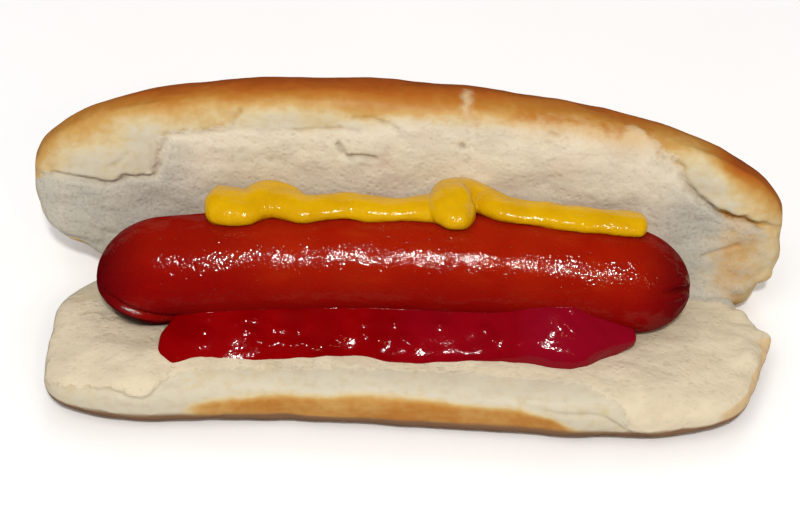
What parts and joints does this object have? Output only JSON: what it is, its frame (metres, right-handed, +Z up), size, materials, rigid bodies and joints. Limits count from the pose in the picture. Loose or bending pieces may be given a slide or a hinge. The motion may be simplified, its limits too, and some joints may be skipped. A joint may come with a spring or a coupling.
{
  "type": "hot dog",
  "caption": "Hot dog in a soft bun opened like a book, with a frankfurter in its fold, a strand of mustard behind the sausage and a strip of ketchup in front of it.",
  "frame": {"origin": "centre of the bounding box, on the table that the bun lies on", "axes": "+X along the bun, +Y from the heel's open edge towards the crown that stands behind the sausage, +Z up"},
  "size_m": [0.1544, 0.0612, 0.0486],
  "materials": {
    "bread": "matte soft bread crumb, browned to golden on its crust",
    "sausage": "glossy red-brown casing",
    "mustard": "glossy yellow sauce",
    "ketchup": "wet deep red sauce"
  },
  "bodies": {
    "root": {"bun": "bread", "sausage": "sausage", "mustard": "mustard", "ketchup": "ketchup"}
  },
  "joints": []
}
